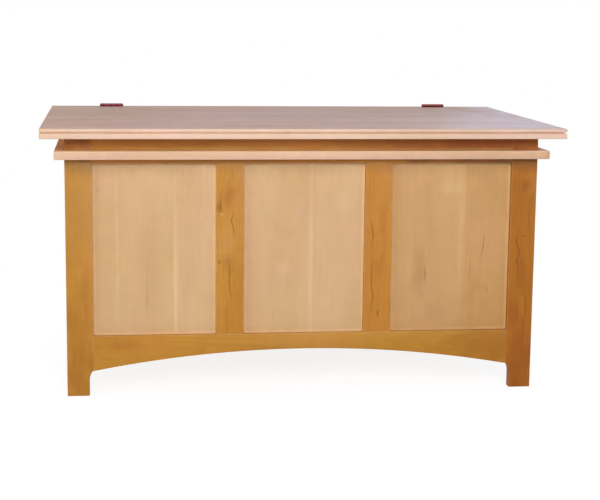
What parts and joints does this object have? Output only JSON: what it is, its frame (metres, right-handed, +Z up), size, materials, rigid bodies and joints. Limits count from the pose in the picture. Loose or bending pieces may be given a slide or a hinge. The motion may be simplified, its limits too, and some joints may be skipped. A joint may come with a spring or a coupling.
{
  "type": "blanket chest",
  "caption": "Low frame-and-panel blanket chest on arched feet, with an overhanging hinged lid, a ledge moulding and a folding lid stay.",
  "frame": {"origin": "on the floor, under the middle of the top", "axes": "+X to the right as seen from the front, +Y to the back where the hinges are, +Z up"},
  "size_m": [1.016, 0.64, 0.533],
  "materials": {
    "cherry": "oiled cherry, golden brown, satin",
    "panel_maple": "oiled maple, pale tan, satin",
    "top_maple": "varnished maple, pale pinkish tan, semi-gloss",
    "hinge_metal": "antique copper plating, dark and polished",
    "stay_brass": "brushed brass"
  },
  "bodies": {
    "case": {"front_left_leg": "cherry", "front_right_leg": "cherry", "front_top_rail": "cherry", "front_bottom_rail": "cherry", "front_left_muntin": "cherry", "front_right_muntin": "cherry", "front_left_panel": "panel_maple", "front_center_panel": "panel_maple", "front_right_panel": "panel_maple", "front_cleat": "cherry", "back_left_leg": "cherry", "back_right_leg": "cherry", "back_top_rail": "cherry", "back_bottom_rail": "cherry", "back_left_muntin": "cherry", "back_right_muntin": "cherry", "back_left_panel": "panel_maple", "back_center_panel": "panel_maple", "back_right_panel": "panel_maple", "back_cleat": "cherry", "left_front_leg": "cherry", "left_rear_leg": "cherry", "left_top_rail": "cherry", "left_bottom_rail": "cherry", "left_muntin": "cherry", "left_front_panel": "panel_maple", "left_rear_panel": "panel_maple", "left_cleat": "cherry", "right_front_leg": "cherry", "right_rear_leg": "cherry", "right_top_rail": "cherry", "right_bottom_rail": "cherry", "right_muntin": "cherry", "right_front_panel": "panel_maple", "right_rear_panel": "panel_maple", "right_cleat": "cherry", "floor_board": "panel_maple", "ledge_front": "top_maple", "ledge_left": "top_maple", "ledge_right": "top_maple", "hinge_rail": "top_maple", "left_hinge_rail_leaf": "hinge_metal", "left_hinge_pin": "hinge_metal", "right_hinge_rail_leaf": "hinge_metal", "right_hinge_pin": "hinge_metal", "stay_case_bracket": "stay_brass", "stay_case_screw_1": "stay_brass", "stay_case_screw_2": "stay_brass"},
    "lid": {"lid": "top_maple", "lid_left_batten": "cherry", "lid_right_batten": "cherry", "left_hinge_lid_leaf": "hinge_metal", "right_hinge_lid_leaf": "hinge_metal", "stay_lid_bracket": "stay_brass", "stay_lid_screw_1": "stay_brass", "stay_lid_screw_2": "stay_brass"},
    "stay_lower": {"stay_lower_arm": "stay_brass"},
    "stay_upper": {"stay_upper_arm": "stay_brass"}
  },
  "joints": [
    {"name": "lid_hinge", "type": "hinge", "parent": "case", "child": "lid", "pos_m": [0, 0.2999, 0.5295], "axis": [-1, 0, 0], "range_deg": [0, 95]},
    {"name": "stay_lower_pivot", "type": "hinge", "parent": "case", "child": "stay_lower", "pos_m": [0.4391, 0.2619, 0.4665], "axis": [-1, 0, 0], "range_deg": [0, 96.8]},
    {"name": "stay_upper_pivot", "type": "hinge", "parent": "lid", "child": "stay_upper", "pos_m": [0.4363, 0.0879, 0.496], "axis": [-1, 0, 0], "range_deg": [-100.2, 0]}
  ],
  "couplings": [
    {"joint": "stay_lower_pivot", "follows": "lid_hinge", "ratio": 1.0189},
    {"joint": "stay_upper_pivot", "follows": "lid_hinge", "ratio": -1.0539}
  ]
}
